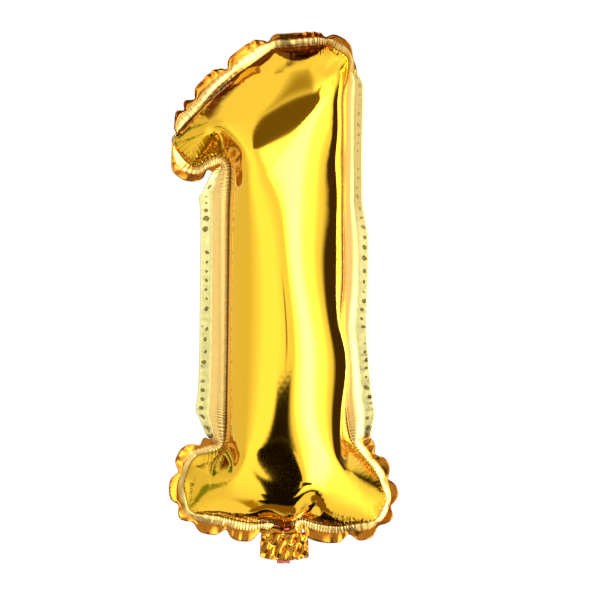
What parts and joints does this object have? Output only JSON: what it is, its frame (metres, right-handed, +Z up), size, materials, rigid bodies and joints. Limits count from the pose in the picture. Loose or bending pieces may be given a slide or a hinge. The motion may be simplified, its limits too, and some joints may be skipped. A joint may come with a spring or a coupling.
{
  "type": "foil number balloon",
  "caption": "Inflated gold foil digit one: two heat-sealed mirror foil panels with a crimped seam, puckered loose margin, inner film valve and a folding filling tail.",
  "frame": {"origin": "middle of the balloon's bounding box, in the plane of the seam", "axes": "+Z up the digit, +X to the reader's right, -Y out of the readable front"},
  "size_m": [0.173, 0.088, 0.383],
  "materials": {
    "gold_foil": "mirror-bright gold-lacquered metallised film",
    "sealed_foil": "heat-sealed film, finely crimped and satin",
    "valve_film": "clear thin film",
    "release_print": "matt red printed coating"
  },
  "bodies": {
    "balloon": {"front_panel": "gold_foil", "back_panel": "gold_foil", "perimeter_seal": "sealed_foil", "valve_front_film": "valve_film", "valve_back_film": "valve_film", "valve_release_print": "release_print"},
    "tail": {"tail_front_leaf": "gold_foil", "tail_back_leaf": "gold_foil", "tail_left_seal": "sealed_foil", "tail_right_seal": "sealed_foil", "mouth_front_film": "valve_film", "mouth_back_film": "valve_film"}
  },
  "joints": [
    {"name": "tail_fold", "type": "hinge", "parent": "balloon", "child": "tail", "pos_m": [0.00295, 0, -0.171], "axis": [1, 0, 0], "range_deg": [-90, 90]}
  ]
}
